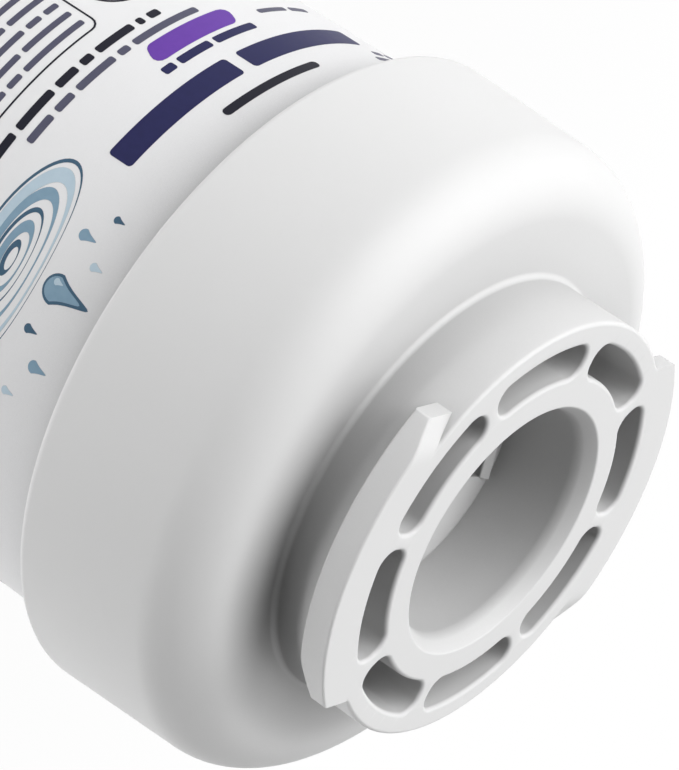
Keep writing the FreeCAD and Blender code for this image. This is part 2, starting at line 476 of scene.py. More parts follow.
@dataclass(frozen=True)
class MouldedRubber(Finish):
    """Black EPDM of the seal rings, dusted with release powder."""

    powder_mm: float = 0.5
    powder_depth_mm: float = 0.03
    powder_strength: float = 0.3

    def surface(self, on: Recipe, place: NodeSocket) -> Dict[str, Any]:
        """Dull black rubber with a greyish bloom.

        Args:
            on: Nodes of the material.
            place: Object coordinates.

        Returns:
            Inputs of the shader.
        """
        # The real powder is as fine as talc, drawn coarser here so that it shows
        bloom = on.add("ShaderNodeTexNoise", {
            "Vector": place, "Scale": per_metre(self.powder_mm), "Detail": 3.0})
        return {
            "Base Color": self.tinted(on, bloom.outputs["Fac"]),
            "Normal": self.raised(on, bloom.outputs["Fac"], self.powder_depth_mm, self.powder_strength),
        }


class Corner(NamedTuple):
    """One corner of a half section, in millimetres."""

    reach: float
    level: float
    rounding: float = 0.0
    segments: int = 5


def close(first: float, second: float) -> bool:
    """True where two lengths in millimetres agree."""
    return abs(first - second) < SAME


def reach_of(vert: BMVert) -> float:
    """Distance of a vertex from the axis."""
    return math.hypot(vert.co.x, vert.co.y)


def is_level(edge: BMEdge, level: float) -> bool:
    """True where an edge lies flat at a level."""
    return all(close(vert.co.z, level) for vert in edge.verts)


def polar(reach: float, angle: float, level: float = 0.0) -> Vector:
    """Point at a distance from the axis, an angle in radians and a level."""
    return Vector((reach * math.cos(angle), reach * math.sin(angle), level))


def everything(bm: BMesh) -> List[Union[BMVert, BMEdge, BMFace]]:
    """All vertices, edges and faces of a mesh."""
    return bm.verts[:] + bm.edges[:] + bm.faces[:]


def round_corner(bm: BMesh, vert: BMVert, rounding: float, segments: int) -> None:
    """Round one corner of a flat face by an arc.

    Args:
        bm: Mesh that holds the face.
        vert: Corner between two edges.
        rounding: Radius of the arc.
        segments: Number of edges in the arc.
    """
    first, second = (edge.other_vert(vert).co - vert.co for edge in vert.link_edges)
    tangent = rounding / math.tan(first.angle(second) / 2)
    bmesh.ops.bevel(bm, geom=[vert], offset=tangent, offset_type="ABSOLUTE", affect="VERTICES",
                    segments=segments, profile=0.5, material=-1)


def outline_section(bm: BMesh, corners: Sequence[Corner]) -> None:
    """Draw the closed outline of a half section in the XZ plane, with its corners rounded.

    Args:
        bm: Empty mesh that takes the outline.
        corners: Corners in order round the section.
    """
    verts = [bm.verts.new((corner.reach, 0.0, corner.level)) for corner in corners]
    bm.faces.new(verts)
    for vert, corner in zip(verts, corners):
        if corner.rounding:
            round_corner(bm, vert, corner.rounding, corner.segments)
    bmesh.ops.delete(bm, geom=bm.faces[:], context="FACES_ONLY")


def swept(bm: BMesh, vert: BMVert, centre: Vector, angle: float, steps: int) -> BMVert:
    """Draw an arc by turning a vertex about an upright line.

    Args:
        bm: Mesh that takes the arc.
        vert: Start of the arc.
        centre: Point on the line.
        angle: Angle of the arc in radians.
        steps: Number of edges in the arc.

    Returns:
        The end of the arc.
    """
    made = bmesh.ops.spin(bm, geom=[vert], cent=centre, axis=AXIS, angle=angle, steps=steps)
    return next(item for item in made["geom_last"] if isinstance(item, BMVert))


def face_out(bm: BMesh) -> None:
    """Turn every face of an open wall away from the axis.

    Args:
        bm: Wall round the axis.
    """
    for face in bm.faces:
        face.normal_update()
        middle = face.calc_center_median()
        if face.normal.x * middle.x + face.normal.y * middle.y < 0:
            face.normal_flip()


def add_mesh(bm: BMesh, other: BMesh) -> None:
    """Copy one mesh into another and free it.

    Args:
        bm: Mesh that takes the copy.
        other: Mesh that is copied and freed.
    """
    carrier = bpy.data.meshes.new("carrier")
    other.to_mesh(carrier)
    other.free()
    bm.from_mesh(carrier)
    bpy.data.meshes.remove(carrier)


def as_piece(bm: BMesh, name: str, material: Material, sharp_deg: float = 35.0) -> Object:
    """Make the finished object of a mesh built in millimetres and let it ride on the body.

    Args:
        bm: Mesh in millimetres, freed here.
        name: Name of the piece.
        material: Its material.
        sharp_deg: Edges that turn more than this stay sharp.

    Returns:
        The object, at the origin.
    """
    bmesh.ops.recalc_face_normals(bm, faces=bm.faces)
    bmesh.ops.scale(bm, vec=(MM, MM, MM), verts=bm.verts)
    for face in bm.faces:
        face.smooth = True
    for edge in bm.edges:
        edge.smooth = edge.calc_face_angle(0.0) < math.radians(sharp_deg)
    mesh = bpy.data.meshes.new(name)
    bm.to_mesh(mesh)
    bm.free()
    mesh.materials.append(material)
    piece = bpy.data.objects.new(name, mesh)
    bpy.context.scene.collection.objects.link(piece)
    # Large faces set the shading, so flat ones stay flat up to their rounded edges
    even = piece.modifiers.new("even_shading", "WEIGHTED_NORMAL")
    even.weight = 100
    even.keep_sharp = True
    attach(piece, ROOT)
    LOG.info("%s: %d faces", name, len(mesh.polygons))
    return piece


@dataclass
class HeadCap:
    """Moulded head: skirt, shoulder, bayonet neck with slots, bore and outlet socket."""

    finish: Finish
    rim_radius: float = 41.0
    rim_level: float = 132.0
    rim_rounding: float = 1.0
    top_radius: float = 40.0
    top_level: float = 156.0
    shoulder_rounding: float = 7.1
    shoulder_steps: int = 18
    skirt_radius: float = 37.15
    ledge_level: float = 148.0
    wall_radius: float = 34.4
    ceiling_level: float = 153.0
    ceiling_rounding: float = 2.0
    neck_radius: float = 26.2
    neck_rounding: float = 0.7
    neck_steps: int = 7
    face_level: float = 166.0
    face_rounding: float = 0.45
    mouth_radius: float = 15.7
    mouth_rounding: float = 0.35
    mouth_steps: int = 4
    bore_radius: float = 14.4
    lead_in_level: float = 164.1
    lead_in_rounding: float = 2.4
    blend_steps: int = 6
    bore_floor: float = 154.25
    outlet_radius: float = 3.2
    socket_radius: float = 6.2
    socket_outside: float = 8.0
    socket_roof: float = 151.65
    socket_mouth: float = 139.65
    slot_count: int = 8
    slot_turn: float = 15.0
    slot_span: float = 39.9
    slot_inside: float = 19.3
    slot_outside: float = 23.55
    slot_corner: float = 1.9
    slot_edge: float = 0.5
    slot_depth: float = 11.5
    slot_draft: float = 0.12
    slot_arc_steps: int = 14
    slot_corner_steps: int = 12
    slot_edge_steps: int = 5
    slot_weld: float = 1e-4
    lug_radius: float = 29.2
    lug_half_angle: float = 42.5
    lug_back: float = 162.55
    lug_row: float = 165.0
    lug_edge: float = 0.3
    lug_edge_steps: int = 4
    lug_crease: float = 40.0
    lug_weld: float = 0.004
    front_ramp_start: float = 14.15
    front_ramp_slope: float = 1.35 / 3.5
    front_ramp_blend: float = 6.0
    back_ramp_start: float = 12.75
    back_ramp_slope: float = 1.27 / 4.9
    port_turn: float = 12.0
    port_half_span: float = 22.5
    port_inside: float = 8.6
    port_outside: float = 11.3
    lip_outside: float = 12.4
    lip_height: float = 0.75
    lip_sink: float = 0.3
    lip_slope: float = 0.5
    lip_edge: float = 0.1
    lip_edge_steps: int = 2
    fill_width: float = 4.0
    margin: float = 0.01
    steps: int = 288

    def section(self) -> List[Corner]:
        """Corners of the half section, from the skirt's inner edge outwards and up.

        Returns:
            The corners, with two extra points where the lugs grow from the neck.
        """
        return [
            Corner(self.skirt_radius, self.rim_level),
            Corner(self.rim_radius, self.rim_level, self.rim_rounding),
            Corner(self.top_radius, self.top_level, self.shoulder_rounding, self.shoulder_steps),
            Corner(self.neck_radius, self.top_level, self.neck_rounding, self.neck_steps),
            Corner(self.neck_radius, self.lug_back),
            Corner(self.neck_radius, self.lug_row),
            Corner(self.neck_radius, self.face_level, self.face_rounding),
            Corner(self.mouth_radius, self.face_level, self.mouth_rounding, self.mouth_steps),
            Corner(self.bore_radius, self.lead_in_level, self.lead_in_rounding, self.blend_steps),
            Corner(self.bore_radius, self.bore_floor),
            Corner(self.outlet_radius, self.bore_floor),
            Corner(self.outlet_radius, self.socket_roof),
            Corner(self.socket_radius, self.socket_roof),
            Corner(self.socket_radius, self.socket_mouth),
            Corner(self.socket_outside, self.socket_mouth),
            Corner(self.socket_outside, self.socket_roof),
            Corner(self.neck_radius, self.socket_roof),
            Corner(self.neck_radius, self.ceiling_level),
            Corner(self.wall_radius, self.ceiling_level, self.ceiling_rounding, self.blend_steps),
            Corner(self.wall_radius, self.ledge_level),
            Corner(self.skirt_radius, self.ledge_level),
        ]

    def front_drop(self, across: float) -> float:
        """Depth of the front ramp below the face.

        Args:
            across: Distance along the lug, negative towards the ramp's end.

        Returns:
            The drop, with a soft bend where the ramp starts.
        """
        angle = math.atan(self.front_ramp_slope)
        bend = self.front_ramp_blend * math.tan(angle / 2)
        past = -across - self.front_ramp_start
        if past <= -bend:
            return 0.0
        run = past + bend
        if run < self.front_ramp_blend * math.sin(angle):
            return self.front_ramp_blend - math.sqrt(self.front_ramp_blend ** 2 - run ** 2)
        return past * self.front_ramp_slope

    def back_rise(self, across: float) -> float:
        """Height of the back ramp above the lug's back face, at a distance along the lug."""
        return max(0.0, across - self.back_ramp_start) * self.back_ramp_slope

    def in_lug(self, point: Vector, margin_deg: float = 0.0) -> bool:
        """True where a point lies within the angle of either lug."""
        return abs(math.degrees(math.atan2(point.y, abs(point.x)))) < self.lug_half_angle + margin_deg

    def grow_lugs(self, bm: BMesh) -> None:
        """Grow both bayonet lugs out of the neck's wall, with straight ends.

        Args:
            bm: Turned head.
        """
        walls = [
            face for face in bm.faces
            if self.lug_back < face.calc_center_median().z < self.lug_row
            and all(close(reach_of(vert), self.neck_radius) for vert in face.verts)
            and self.in_lug(face.calc_center_median())
        ]
        grown = bmesh.ops.extrude_face_region(bm, geom=walls)["geom"]
        bmesh.ops.delete(bm, geom=walls, context="FACES")
        for vert in grown:
            if isinstance(vert, BMVert):
                far = math.sqrt(self.lug_radius ** 2 - vert.co.y ** 2)
                vert.co.x = math.copysign(far, vert.co.x)

    def ramp_lugs(self, bm: BMesh) -> None:
        """Shape the ramps of both lugs and round their outer edges.

        Args:
            bm: Head with plain lugs.
        """
        inner_limit = self.neck_radius - self.face_rounding - self.margin
        for vert in bm.verts:
            if reach_of(vert) < inner_limit or vert.co.z < self.lug_back - self.margin:
                continue
            far_side = reach_of(vert) > self.neck_radius + self.margin
            if not far_side and not self.in_lug(vert.co, self.margin):
                continue
            across = math.copysign(1.0, vert.co.x) * vert.co.y
            front = self.face_level - self.front_drop(across)
            if close(vert.co.z, self.lug_back):
                vert.co.z += self.back_rise(across)
            elif close(vert.co.z, self.lug_row):
                vert.co.z = front
            else:
                vert.co.z = max(vert.co.z, front)
        bmesh.ops.remove_doubles(bm, verts=bm.verts, dist=self.lug_weld)
        rim = [
            edge for edge in bm.edges
            if all(close(reach_of(vert), self.lug_radius) for vert in edge.verts)
            and edge.calc_face_angle(0.0) > math.radians(self.lug_crease)
        ]
        bmesh.ops.bevel(bm, geom=rim, offset=self.lug_edge, affect="EDGES", segments=self.lug_edge_steps,
                        profile=0.5, material=-1, clamp_overlap=False)

    def slot_mouth(self, bm: BMesh) -> BMFace:
        """Outline of one slot at the face: two long arcs, joined by rounded ends.

        Args:
            bm: Mesh that takes the outline.

        Returns:
            The flat face inside the outline, which points upwards.
        """
        corner = self.slot_corner + self.slot_edge
        far = self.slot_outside + self.slot_edge - corner
        near = self.slot_inside - self.slot_edge + corner
        half = math.radians(self.slot_span) / 2 + self.slot_edge / self.slot_outside
        far_lean, near_lean = (math.asin(corner / reach) for reach in (far, near))
        right_angle = math.pi / 2
        vert = bm.verts.new((far + corner, 0.0, self.face_level))
        vert = swept(bm, vert, CENTRE, half - far_lean, self.slot_arc_steps)
        end = polar(far, half - far_lean)
        vert = swept(bm, vert, end, right_angle + far_lean, self.slot_corner_steps)
        start = bm.verts.new(polar(near * math.cos(near_lean), half, self.face_level))
        bm.edges.new((vert, start))
        end = polar(near, half - near_lean)
        vert = swept(bm, start, end, right_angle - near_lean, self.slot_corner_steps)
        swept(bm, vert, CENTRE, near_lean - half, self.slot_arc_steps)
        bmesh.ops.mirror(bm, geom=bm.verts[:] + bm.edges[:], axis="Y", merge_dist=self.slot_weld)
        mouth = bmesh.ops.contextual_create(bm, geom=bm.edges[:])["faces"][0]
        mouth.normal_update()
        if mouth.normal.z < 0:
            mouth.normal_flip()
        return mouth

    def slot_pockets(self) -> BMesh:
        """The ring of arc slots, each with rounded ends, a rounded mouth and a flat floor.

        Returns:
            Pockets that are open at the face.
        """
        bm = bmesh.new()
        floor = self.slot_mouth(bm)
        turned = Matrix.Rotation(math.radians(self.slot_turn), 3, "Z")
        bmesh.ops.rotate(bm, cent=CENTRE, matrix=turned, verts=bm.verts)
        angles = [math.pi / 2 * step / self.slot_edge_steps for step in range(self.slot_edge_steps + 1)]
        insets = [
            (self.slot_edge * (math.sin(end) - math.sin(start)),
             self.slot_edge * (math.cos(end) - math.cos(start)))
            for start, end in zip(angles, angles[1:])
        ]
        insets.append((self.slot_draft, self.slot_edge - self.slot_depth))
        for thickness, depth in insets:
            bmesh.ops.inset_individual(bm, faces=[floor], thickness=thickness, depth=depth,
                                       use_even_offset=True)
        others = self.slot_count - 1
        bmesh.ops.spin(bm, geom=everything(bm), cent=CENTRE, axis=AXIS, steps=others,
                       angle=FULL_TURN / self.slot_count * others, use_duplicate=True)
        return bm

    def sector(self, bm: BMesh, near: float, far: float, level: float) -> BMFace:
        """Flat sector with radial sides and straight ends, along X.

        Args:
            bm: Mesh that takes the sector.
            near: Distance of its inner end.
            far: Distance of its outer end.
            level: Height of the sector.

        Returns:
            The face.
        """
        slope = math.tan(math.radians(self.port_half_span))
        outline = [(near, -slope * near), (far, -slope * far), (far, slope * far), (near, slope * near)]
        return bm.faces.new([bm.verts.new((x, y, level)) for x, y in outline])

    def port_pair(self, *, lip: bool) -> BMesh:
        """The two opposite inlet ports, or the raised lips beside them.

        Args:
            lip: Build the lips instead of the openings.

        Returns:
            Walls of the openings, or closed lips.
        """
        bm = bmesh.new()
        if lip:
            face = self.sector(bm, self.port_outside, self.lip_outside, self.bore_floor - self.lip_sink)
            rise = self.lip_height + self.lip_sink
        else:
            face = self.sector(bm, self.port_inside, self.port_outside, self.bore_floor)
            rise = self.socket_roof - self.bore_floor
        grown = bmesh.ops.extrude_face_region(bm, geom=[face])["geom"]
        moved = [item for item in grown if isinstance(item, BMVert)]
        bmesh.ops.translate(bm, vec=(0.0, 0.0, rise), verts=moved)
        if lip:
            top = [edge for edge in bm.edges if is_level(edge, self.bore_floor + self.lip_height)]
            for vert in moved:
                vert.co.z -= self.lip_slope * (self.lip_outside - vert.co.x)
            bmesh.ops.bevel(bm, geom=top, offset=self.lip_edge, affect="EDGES",
                            segments=self.lip_edge_steps, profile=0.5, material=-1)
        else:
            flat = [one for one in bm.faces if abs(one.normal.z) > FLAT]
            bmesh.ops.delete(bm, geom=flat, context="FACES_ONLY")
        turned = Matrix.Rotation(math.radians(self.port_turn), 3, "Z")
        bmesh.ops.rotate(bm, cent=CENTRE, matrix=turned, verts=bm.verts)
        bmesh.ops.spin(bm, geom=everything(bm), cent=CENTRE, axis=AXIS, angle=math.pi, steps=1,
                       use_duplicate=True)
        return bm

    def build(self) -> Object:
        """Model the head and put it in the place of its CAD node.

        Returns:
            The finished piece.
        """
        bm = bmesh.new()
        outline_section(bm, self.section())
        # The face, the bore's floor and the underside have openings and are filled later
        levels = (self.face_level, self.bore_floor, self.socket_roof)
        open_sides = [
            edge for edge in bm.edges
            if edge.calc_length() > self.fill_width and any(is_level(edge, level) for level in levels)
        ]
        bmesh.ops.delete(bm, geom=open_sides, context="EDGES")
        bmesh.ops.spin(bm, geom=bm.verts[:] + bm.edges[:], cent=CENTRE, axis=AXIS, angle=FULL_TURN,
                       steps=self.steps, use_merge=True)
        self.grow_lugs(bm)
        self.ramp_lugs(bm)
        add_mesh(bm, self.slot_pockets())
        add_mesh(bm, self.port_pair(lip=False))
        for level in levels:
            loops = [edge for edge in bm.edges if edge.is_boundary and is_level(edge, level)]
            bmesh.ops.triangle_fill(bm, edges=loops, use_beauty=True, use_dissolve=False, normal=AXIS)
        add_mesh(bm, self.port_pair(lip=True))
        piece = as_piece(bm, "moulded_head", self.finish.material())
        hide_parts("head_cap")
        return piece


class Ink(Enum):
    """Inks of the label: name, colour, shade and layer on the film."""

    PALE_BLUE = ("pale_blue", "#bccdd8", "#adc1ce", 3)
    MIST_BLUE = ("mist_blue", "#86a2b5", "#7794a8", 2)
    SLATE_BLUE = ("slate_blue", "#48657b", "#3c586e", 1)
    NAVY = ("navy", "#282955", "#22234b", 4)
    BLACK = ("black", "#1f1f2c", "#181823", 5)
    GREY = ("grey", "#57576a", "#4d4d60", 5)
    VIOLET = ("violet", "#6b40a6", "#623a9b", 6)

    def __init__(self, tag: str, colour: str, shade: str, layer: int) -> None:
        """Keep the name, finish and layer of one ink.

        Args:
            tag: Name of the ink.
            colour: Colour where the ink is thin.
            shade: Colour where it is dense.
            layer: Its layer on the film, counted outwards.
        """
        self.tag = tag
        self.finish = PrintingInk("flexo_ink_" + tag, colour, shade, roughness=0.4)
        self.layer = layer


class Bar(NamedTuple):
    """One printed bar: place of its lower left corner in degrees and level, and its size."""

    ink: Ink
    turn: float
    level: float
    width: float
    height: float
    rounding: float = 0.0
    slant: float = 0.0


class Row(NamedTuple):
    """A row of printed bars that starts at an angle and a level."""

    ink: Ink
    turn: float
    level: float
    height: float
    gap: float
    widths: Tuple[float, ...]
    rounding: float = 0.3


class Ribbon(NamedTuple):
    """A printed wave that swells between two angles."""

    ink: Ink
    start: float
    end: float
    level: float
    swing: float
    waves: float
    phase: float
    thickness: float


class Drop(NamedTuple):
    """A printed water drop at an angle and a level."""

    ink: Ink
    turn: float
    level: float
    radius: float
    tail: float


class Ring(NamedTuple):
    """A printed ring, or a ripple where it is flattened and heavier on its lower side."""

    ink: Ink
    turn: float
    level: float
    radius: float
    line: float
    flatness: float = 1.0
    lean: float = 0.0


@dataclass
class WrappedLabel:
    """Printed film wrapped round the sump, with generic bars, a pill, a frame and waves."""

    film: Finish
    inner_radius: float = 37.05
    outer_radius: float = 37.2
    bottom: float = 7.5
    top: float = 131.9
    seam_turn: float = 154.0
    seam_gap: float = 1.5
    film_steps: int = 320
    ink_lift: float = 0.012
    ink_layer: float = 0.004
    ink_bite: float = 0.01
    strip: float = 1.2
    line_height: float = 0.8
    panel: Bar = Bar(Ink.BLACK, -60.9, 88.4, 42.0, 17.4, 1.4)
    panel_line: float = 0.22
    framed_turn: float = -59.2
    framed_level: float = 103.6
    framed_pitch: float = 2.0
    back_turn: float = -178.0
    back_level: float = 112.0
    back_pitch: float = 2.2
    back_lines: int = 9
    back_words: int = 5
    line_step: int = 3
    word_step: int = 2
    shortest_word: float = 3.0
    word_growth: float = 1.3
    mark_turns: Tuple[float, ...] = (60.0, 83.0, 106.0)
    mark_lines: Tuple[Tuple[float, float], ...] = ((89.6, 8.4), (87.6, 6.4))
    seal_turn: float = -71.0
    seal_level: float = 100.6
    ripple_turn: float = -18.0
    ripple_level: float = 116.8
    ripple_flatness: float = 0.36
    ripple_lean: float = 0.7
    foot_start: float = -203.0
    foot_end: float = 151.0
    foot_waves: float = 5.0
    wave_taper: float = 0.35
    wave_tip: float = 0.001
    corner_share: float = 0.49
    corner_steps: int = 4
    ring_steps: int = 64
    drop_steps: int = 28
    drop_pinch: float = 0.55
    drop_point: int = 3

    def rows(self) -> List[Row]:
        """Rows of bars that stand where a label has its lines.

        Returns:
            Heading, small lines, lines in the frame, lines of the back and lines under its marks.
        """
        rows = [
            Row(Ink.NAVY, -101.0, 119.1, 3.3, 1.7, (19.0, 18.0), 0.5),
            Row(Ink.BLACK, -82.0, 124.9, 1.2, 0.9, (14.9,), 0.55),
            Row(Ink.NAVY, -81.6, 115.6, 1.2, 0.7, (6.4, 4.9, 1.7)),
            Row(Ink.GREY, -112.0, 125.4, self.line_height, 0.8, (3.2, 4.6)),
            Row(Ink.GREY, -112.0, 123.8, self.line_height, 0.8, (4.4, 2.0)),
            Row(Ink.GREY, -101.0, 113.6, self.line_height, 0.8, (3.6, 5.0)),
            Row(Ink.GREY, -76.3, 110.1, 1.0, 0.8, (9.8, 1.5, 5.6, 2.6, 3.8)),
            Row(Ink.BLACK, -70.4, 107.9, 1.1, 0.8, (1.6, 0.9, 5.4, 1.6, 3.0, 5.6, 3.7)),
        ]
        framed = [
            (9.0, 2.0, 6.4, 1.4, 5.0, 3.1, 6.2),
            (7.2, 5.2, 4.6, 6.8, 2.4, 5.6),
            (1.9, 2.0, 6.1, 1.4, 7.0, 3.2, 8.0),
            (5.6, 2.8, 7.4, 1.6, 4.2, 6.6, 3.0),
            (8.2, 1.4, 5.0, 4.4, 6.2, 2.2),
            (3.4, 6.6, 2.2, 7.8, 1.6, 5.0),
            (6.8, 4.0, 1.4, 8.4, 3.4),
        ]
        for number, widths in enumerate(framed):
            level = self.framed_level - self.framed_pitch * number
            rows.append(Row(Ink.GREY, self.framed_turn, level, self.line_height, 0.7, widths, 0.25))
        for number in range(self.back_lines):
            level = self.back_level - self.back_pitch * number
            # Each line starts the round of word lengths at another place
            start = self.line_step * number
            lengths = [(start + self.word_step * word) % self.back_words for word in range(self.back_words)]
            widths = tuple(self.shortest_word + self.word_growth * length for length in lengths)
            rows.append(Row(Ink.GREY, self.back_turn, level, self.line_height, 0.8, widths, 0.25))
        for turn in self.mark_turns:
            for level, width in self.mark_lines:
                start = turn - math.degrees(width / 2 / self.outer_radius)
                rows.append(Row(Ink.GREY, start, level, self.line_height, 0.0, (width,)))
        return rows

    def bars(self) -> List[Bar]:
        """All bars: the violet pills, the headings of the back and the bars of every row.

        Returns:
            The bars.
        """
        bars = [
            Bar(Ink.VIOLET, -80.6, 111.9, 12.9, 3.0, 1.1, 0.5),
            Bar(Ink.NAVY, self.back_turn, 116.4, 22.0, 3.0, 0.5),
            Bar(Ink.NAVY, 48.0, 116.4, 26.0, 3.0, 0.5),
            Bar(Ink.VIOLET, 92.0, 116.4, 12.9, 3.0, 1.1, 0.5),
        ]
        for row in self.rows():
            turn = row.turn
            for width in row.widths:
                bars.append(Bar(row.ink, turn, row.level, width, row.height, row.rounding))
                turn += math.degrees((width + row.gap) / self.outer_radius)
        return bars

    def ribbons(self) -> List[Ribbon]:
        """Waves of blue ink round the foot, from the upper to the lower edge of the band.

        Returns:
            The waves.
        """
        waves = [
            (Ink.PALE_BLUE, 28.5, 3.0, 0.5, 2.4),
            (Ink.MIST_BLUE, 24.0, 3.0, 0.0, 4.0),
            (Ink.NAVY, 18.6, 2.4, -0.4, 2.0),
        ]
        return [
            Ribbon(ink, self.foot_start, self.foot_end, level, swing, self.foot_waves, phase, thickness)
            for ink, level, swing, phase, thickness in waves
        ]

    def rings(self) -> List[Ring]:
        """Round marks beside the frame and on the back, and ripples under the large drop.

        Returns:
            The rings, the ripples from the inside out.
        """
        ripples = (
            (Ink.SLATE_BLUE, 2.2, 0.8), (Ink.MIST_BLUE, 4.6, 1.3), (Ink.SLATE_BLUE, 6.2, 0.55),
            (Ink.MIST_BLUE, 8.8, 1.4), (Ink.PALE_BLUE, 11.4, 1.7), (Ink.SLATE_BLUE, 12.6, 0.45),
        )
        seal = [
            Ring(Ink.BLACK, self.seal_turn, self.seal_level, radius, line)
            for radius, line in ((4.6, 0.3), (3.7, 0.16))
        ]
        marks = [Ring(Ink.NAVY, turn, 99.0, 5.6, 0.45) for turn in self.mark_turns]
        return seal + marks + [
            Ring(ink, self.ripple_turn, self.ripple_level, radius, line,
                 self.ripple_flatness, self.ripple_lean)
            for ink, radius, line in ripples
        ]

    def drops(self) -> List[Drop]:
        """Large drop over the ripples, small ones round it and one in each round mark.

        Returns:
            The drops.
        """
        marks = [Drop(Ink.MIST_BLUE, turn, 97.8, 2.0, 2.5) for turn in self.mark_turns]
        return marks + [
            Drop(Ink.SLATE_BLUE, self.ripple_turn, 123.9, 1.8, 2.6),
            Drop(Ink.MIST_BLUE, self.ripple_turn, 123.8, 1.45, 2.45),
            Drop(Ink.PALE_BLUE, -19.2, 123.5, 0.42, 2.0),
            Drop(Ink.MIST_BLUE, -28.0, 123.2, 0.7, 2.4),
            Drop(Ink.SLATE_BLUE, -33.0, 125.4, 0.45, 2.4),
            Drop(Ink.PALE_BLUE, -24.5, 126.4, 0.5, 2.4),
            Drop(Ink.SLATE_BLUE, -10.0, 123.0, 0.55, 2.4),
            Drop(Ink.MIST_BLUE, -5.0, 125.6, 0.75, 2.4),
            Drop(Ink.PALE_BLUE, 1.5, 123.2, 0.5, 2.4),
            Drop(Ink.SLATE_BLUE, self.seal_turn, 99.9, 1.25, 2.6),
        ]

    def along(self, turn_deg: float) -> float:
        """Distance round the film for an angle in degrees."""
        return math.radians(turn_deg) * self.outer_radius

    def lay_bar(self, bm: BMesh, bar: Bar) -> None:
        """Lay one bar flat, with rounded corners.

        Args:
            bm: Flat print of one ink.
            bar: The bar.
        """
        verts = bmesh.ops.create_grid(bm, x_segments=1, y_segments=1, size=0.5)["verts"]
        bmesh.ops.scale(bm, vec=(bar.width, bar.height, 1.0), verts=verts)
        middle = (self.along(bar.turn) + bar.width / 2, bar.level + bar.height / 2, 0.0)
        for vert in verts:
            vert.co.x += bar.slant * vert.co.y
        bmesh.ops.translate(bm, vec=middle, verts=verts)
        if bar.rounding:
            largest = self.corner_share * min(bar.height, bar.width)
            for vert in verts:
                round_corner(bm, vert, min(bar.rounding, largest), self.corner_steps)

    def lay_frame(self, bm: BMesh, bar: Bar) -> None:
        """Lay a thin rounded frame.

        Args:
            bm: Flat print of one ink.
            bar: Outline of the frame.
        """
        before = set(bm.faces)
        self.lay_bar(bm, bar)
        panel = next(face for face in bm.faces if face not in before)
        bmesh.ops.inset_individual(bm, faces=[panel], thickness=self.panel_line, use_even_offset=True)
        bmesh.ops.delete(bm, geom=[panel], context="FACES_ONLY")

    def lay_ring(self, bm: BMesh, ring: Ring) -> None:
        """Lay a flat ring or ripple.

        Args:
            bm: Flat print of one ink.
            ring: The ring.
        """
        made = bmesh.ops.create_circle(
            bm, cap_ends=True, segments=self.ring_steps, radius=ring.radius)["verts"]
        disc = made[0].link_faces[0]
        bmesh.ops.inset_individual(bm, faces=[disc], thickness=ring.line, use_even_offset=True)
        inner = disc.verts[:]
        bmesh.ops.translate(bm, vec=(0.0, ring.lean * ring.line, 0.0), verts=inner)
        bmesh.ops.delete(bm, geom=[disc], context="FACES_ONLY")
        bmesh.ops.scale(bm, vec=(1.0, ring.flatness, 1.0), verts=made + inner)
        bmesh.ops.translate(bm, vec=(self.along(ring.turn), ring.level, 0.0), verts=made + inner)

    def lay_ribbon(self, bm: BMesh, ribbon: Ribbon) -> None:
        """Lay one wave, thin at its ends and full in its middle.

        Args:
            bm: Flat print of one ink.
            ribbon: The wave.
        """
        start, end = self.along(ribbon.start), self.along(ribbon.end)
        count = int((end - start) / self.strip)
        verts = bmesh.ops.create_grid(bm, x_segments=count, y_segments=1, size=0.5)["verts"]
        for vert in verts:
            share = vert.co.x + 0.5
            side = 2.0 * vert.co.y
            swing = ribbon.swing * math.sin(FULL_TURN * ribbon.waves * share + ribbon.phase)
            swell = max(self.wave_tip, math.sin(math.pi * share)) ** self.wave_taper
            vert.co.x = start + share * (end - start)
            vert.co.y = ribbon.level + swing + side * ribbon.thickness * swell / 2

    def lay_drop(self, bm: BMesh, drop: Drop) -> None:
        """Lay one drop with a pointed top.

        Args:
            bm: Flat print of one ink.
            drop: The drop.
        """
        verts = bmesh.ops.create_circle(
            bm, cap_ends=True, segments=self.drop_steps, radius=drop.radius)["verts"]
        for vert in verts:
            up = max(0.0, vert.co.y / drop.radius)
            vert.co.x *= 1.0 - self.drop_pinch * up
            vert.co.y += (drop.tail - 1.0) * drop.radius * up ** self.drop_point
        bmesh.ops.translate(bm, vec=(self.along(drop.turn), drop.level, 0.0), verts=verts)

    def wrap(self, bm: BMesh, layer: int) -> None:
        """Cut a flat print into narrow strips, bend it round the film and give it thickness.

        Args:
            bm: Flat print, with the distance round the film in X and the level in Y.
            layer: Layer of the ink on the film.
        """
        left = min(vert.co.x for vert in bm.verts)
        right = max(vert.co.x for vert in bm.verts)
        for number in range(math.ceil(left / self.strip), math.floor(right / self.strip) + 1):
            cut = (number * self.strip, 0.0, 0.0)
            bmesh.ops.bisect_plane(bm, geom=everything(bm), plane_co=cut, plane_no=(1.0, 0.0, 0.0))
        radius = self.outer_radius + self.ink_lift + self.ink_layer * layer
        for vert in bm.verts:
            vert.co = polar(radius, vert.co.x / self.outer_radius, vert.co.y)
        face_out(bm)
        bmesh.ops.solidify(bm, geom=bm.faces[:], thickness=radius - self.outer_radius + self.ink_bite)

